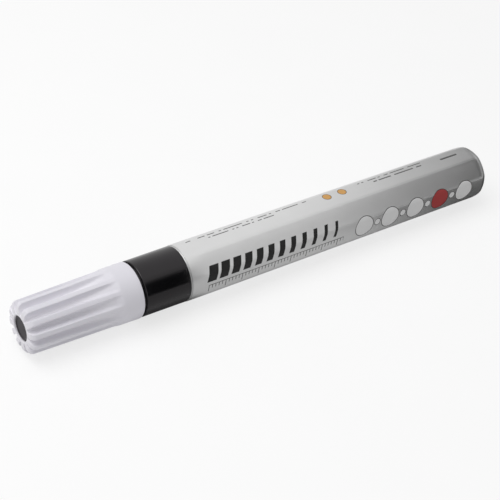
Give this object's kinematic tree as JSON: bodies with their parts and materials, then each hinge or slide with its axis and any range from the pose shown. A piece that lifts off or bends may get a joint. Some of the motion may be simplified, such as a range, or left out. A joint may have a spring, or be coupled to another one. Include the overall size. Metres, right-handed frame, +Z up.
{
  "type": "valve-action paint marker",
  "caption": "Paint marker with a fluted slip-on cap, glossy collar, octagonal aluminium barrel with a printed wrap, spring valve and fibre nib.",
  "frame": {"origin": "on the surface the marker lies on, under the middle of its length", "axes": "+X along the pen from the cap's closed end to the barrel's closed end, +Z up from the flat that it lies on"},
  "size_m": [0.14, 0.0146, 0.0146],
  "materials": {
    "cap_plastic": "moulded, satin, very pale lavender grey",
    "plug_plastic": "moulded, satin, dark grey",
    "liner_plastic": "natural polyethylene",
    "barrel_aluminium": "drawn, satin",
    "label_film": "satin silver-grey printed film",
    "holder_plastic": "moulded, glossy black",
    "seal_rubber": "moulded",
    "nib_fibre": "bonded polyester fibre",
    "valve_plastic": "moulded, natural",
    "spring_steel": "drawn wire",
    "ball_steel": "polished"
  },
  "bodies": {
    "root": {"barrel": "barrel_aluminium", "label": "label_film", "nib_holder": "holder_plastic", "barrel_gasket": "seal_rubber", "valve_body": "valve_plastic", "valve_spring": "spring_steel", "spring_cage": "valve_plastic"},
    "cap": {"cap_shell": "cap_plastic", "cap_plug": "plug_plastic", "cap_liner": "liner_plastic"},
    "nib_valve": {"nib": "nib_fibre", "valve_stem": "valve_plastic", "valve_seal": "seal_rubber"},
    "ball_1": {"mixing_ball_1": "ball_steel"},
    "ball_2": {"mixing_ball_2": "ball_steel"}
  },
  "joints": [
    {"name": "cap_pull", "type": "slide", "parent": "root", "child": "cap", "axis": [-1, 0, 0], "range_m": [0, 0.045]},
    {"name": "nib_press", "type": "slide", "parent": "root", "child": "nib_valve", "axis": [1, 0, 0], "range_m": [0, 0.0018], "stiffness_N_per_m": 1200, "springref_m": -0.001, "deforming": ["valve_spring"]},
    {"name": "ball_1_roll", "type": "slide", "parent": "root", "child": "ball_1", "axis": [1, 0, 0], "range_m": [-0.0144, 0.0688]},
    {"name": "ball_2_roll", "type": "slide", "parent": "root", "child": "ball_2", "axis": [1, 0, 0], "range_m": [-0.0554, 0.0278]}
  ]
}
